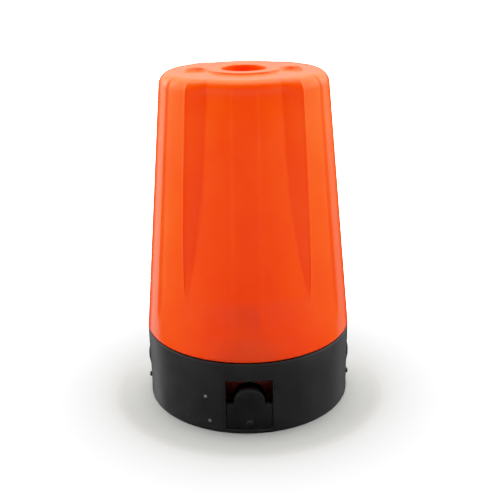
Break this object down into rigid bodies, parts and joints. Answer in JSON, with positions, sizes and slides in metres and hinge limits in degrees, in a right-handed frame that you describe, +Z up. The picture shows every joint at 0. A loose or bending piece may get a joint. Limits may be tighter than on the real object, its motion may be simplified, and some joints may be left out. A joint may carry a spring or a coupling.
{
  "type": "twist wire connector",
  "caption": "Tall finger-panelled cap turning on a low round base with side wire windows, springy gates and a conical spring inside.",
  "frame": {"origin": "centre of the base ring's foot, on the surface it stands on", "axes": "+Z up along the twist axis, -Y out of the front wire window, +X to the right"},
  "size_m": [0.0358, 0.0358, 0.0564],
  "materials": {
    "orange_plastic": "gloss",
    "red_orange_plastic": "satin",
    "black_plastic": "satin",
    "spring_steel": "plated"
  },
  "bodies": {
    "base": {"base_ring": "black_plastic", "base_cover": "black_plastic", "wire_guide": "red_orange_plastic"},
    "twist_cap": {"cap": "orange_plastic", "spring_sleeve": "red_orange_plastic", "spring": "spring_steel"},
    "flap_front": {"gate_front": "black_plastic"},
    "flap_right": {"gate_right": "black_plastic"},
    "flap_back": {"gate_back": "black_plastic"},
    "flap_left": {"gate_left": "black_plastic"}
  },
  "joints": [
    {"name": "cap_twist", "type": "hinge", "parent": "base", "child": "twist_cap", "pos_m": [0, 0, 0.0126], "axis": [0, 0, 1], "continuous": true},
    {"name": "gate_front_bend", "type": "hinge", "parent": "base", "child": "flap_front", "pos_m": [0, -0.0167, 0.0013], "axis": [-1, 0, 0], "range_deg": [0, 30], "stiffness_Nm_per_rad": 0.004},
    {"name": "gate_right_bend", "type": "hinge", "parent": "base", "child": "flap_right", "pos_m": [0.0167, 0, 0.0013], "axis": [0, -1, 0], "range_deg": [0, 30], "stiffness_Nm_per_rad": 0.004},
    {"name": "gate_back_bend", "type": "hinge", "parent": "base", "child": "flap_back", "pos_m": [0, 0.0167, 0.0013], "axis": [1, 0, 0], "range_deg": [0, 30], "stiffness_Nm_per_rad": 0.004},
    {"name": "gate_left_bend", "type": "hinge", "parent": "base", "child": "flap_left", "pos_m": [-0.0167, 0, 0.0013], "axis": [0, 1, 0], "range_deg": [0, 30], "stiffness_Nm_per_rad": 0.004}
  ]
}
